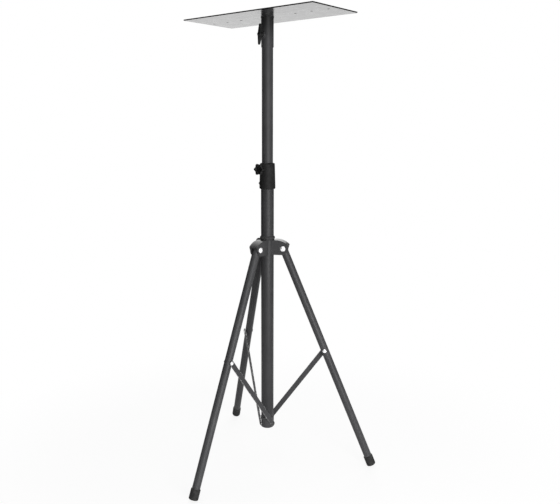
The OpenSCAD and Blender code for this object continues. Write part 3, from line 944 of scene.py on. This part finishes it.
wingSettings = {
    "piece": "wingGrip",
    "turn": -4.0,           # as it was left, degrees
    "hubStart": 0.0258,     # places along the screw, from the column axis
    "hubEnd": 0.0420,
    "hubWide": 0.0170,
    "noseWide": 0.0120,
    "hubSides": 48,
    "hubRound": 0.0012,
    "hubSteps": 3,
    "sharp": 60.0,          # degrees
    "wingIn": 0.0300,       # a wing's root runs from here
    "wingOut": 0.0412,      # to here
    "tipAt": 0.0369,
    "tip": 0.0026,          # half the height of a wing's end
    "span": 0.0610,
    "rootThick": 0.0112,
    "tipThick": 0.0058,
    "leafRound": 0.0014,
    "leafSteps": 4,
    "voxel": 0.00036,
    "passes": 3,
}


def wingLeaf(bm, side, s):
    reach = s["span"] / 2
    corners = [(0, s["wingIn"]), (side * reach, s["tipAt"] - s["tip"]), (side * reach, s["tipAt"] + s["tip"]),
               (0, s["wingOut"])]
    leaf = bm.faces.new([bm.verts.new((-s["tipThick"] / 2, y, z)) for y, z in corners])
    made = bmesh.ops.extrude_face_region(bm, geom=[leaf])["geom"]
    grown = [g for g in made if isinstance(g, bmesh.types.BMVert)]
    bmesh.ops.translate(bm, verts=grown, vec=(s["tipThick"], 0, 0))
    whole = list(leaf.verts) + grown
    root = [v for v in whole if abs(v.co.y) < reach / 2]
    bmesh.ops.scale(bm, vec=(s["rootThick"] / s["tipThick"], 1, 1), verts=root)
    edges = list({e for v in whole for e in v.link_edges})
    roundEdges(bm, edges, s["leafRound"], s["leafSteps"], clamp=False)


def wingPiece(nodeName, s):
    bm = bmesh.new()
    length = s["hubEnd"] - s["hubStart"]
    bmesh.ops.create_cone(bm, cap_ends=True, segments=s["hubSides"], radius1=s["hubWide"] / 2,
                          radius2=s["noseWide"] / 2, depth=length,
                          matrix=Matrix.Translation((0, 0, s["hubStart"] + length / 2)))
    roundEdges(bm, sharpEdges(bm, s["sharp"]), s["hubRound"], s["hubSteps"], clamp=False)
    for side in (1, -1):
        wingLeaf(bm, side, s)
    bmesh.ops.recalc_face_normals(bm, faces=bm.faces)
    turned = Matrix.Rotation(math.radians(s["turn"]), 3, "Z")
    bmesh.ops.rotate(bm, cent=(0, 0, 0), matrix=turned, verts=bm.verts)
    bmesh.ops.transform(bm, matrix=facingKnob(nodeName), verts=bm.verts)
    fuseShells(standIn(bm, s["piece"], nodeName), s["voxel"], s["passes"])


wingPiece("wing_knob", wingSettings)
print("wing knob done")

# weld beads: socket to plate, bosses, and the arms on the hub sleeve

beadSettings = {
    "swell": 0.10,         # an uneven hand
    "rhythm": 2.3,
    "roundness": 2,
    "voxelShare": 0.3,
    "passes": 1,
}
socketWall = 0.0194        # where beads lie on the socket, from the column axis
weldSettings = {
    # the socket's weld and the boss weld take the socket's painted shade under the plate
    "socket": {"piece": "socketWeld", "body": "plate_head", "look": "socketShadedPaint", "radius": socketWall,
               "height": 1.4440, "bead": 0.0012, "count": 62},
    "boss": {"piece": "bossWeld", "body": "plate_head", "look": "socketShadedPaint", "knob": "wing_knob",
             "ring": 0.0084, "wall": socketWall, "bead": 0.0014, "count": 40},
    "hubBoss": {"piece": "hubBossWeld", "body": "hub", "look": "charcoalPaint", "knob": "hub_knob",
                "ring": 0.0063, "wall": 0.0228, "bead": 0.0012, "count": 34},
    "arms": {"piece": "armWelds", "body": "hub", "look": "charcoalPaint", "across": 0.0163, "out": 0.0164,
             "low": 0.7148, "high": 0.7570, "bead": 0.0015, "count": 26},
}


def evenAngles(count):
    return [2 * math.pi * n / count for n in range(count)]


def ringPoints(s):
    return [(s["radius"] * math.cos(t), s["radius"] * math.sin(t), s["height"])
            for t in evenAngles(s["count"])]


def bossPoints(s):
    # a ring laid on the round wall of the tube that carries the boss
    place = facingKnob(s["knob"])
    points = []
    for t in evenAngles(s["count"]):
        x, y = s["ring"] * math.cos(t), s["ring"] * math.sin(t)
        points.append(place @ Vector((x, y, math.sqrt(s["wall"] ** 2 - x ** 2))))
    return points


def armPoints(s):
    points = []
    for azimuth in legAzimuth.values():
        for side in (1, -1):
            for n in range(s["count"]):
                height = s["low"] + (s["high"] - s["low"]) * n / (s["count"] - 1)
                points.append(facing(azimuth, height) @ Vector((side * s["across"], 0, s["out"])))
    return points


def weldPiece(s, points, shared):
    bm = bmesh.new()
    for n, point in enumerate(points):
        ball = s["bead"] * (1.0 + shared["swell"] * math.sin(n * shared["rhythm"]))
        bmesh.ops.create_icosphere(bm, subdivisions=shared["roundness"], radius=ball,
                                   matrix=Matrix.Translation(point))
    piece = keepPiece(bm, s["piece"], s["body"], s["look"])
    fuseShells(piece, s["bead"] * shared["voxelShare"], shared["passes"])


weldPoints = {"socket": ringPoints, "boss": bossPoints, "hubBoss": bossPoints, "arms": armPoints}
for name, pointsFor in weldPoints.items():
    weldPiece(weldSettings[name], pointsFor(weldSettings[name]), beadSettings)
print("welds done")
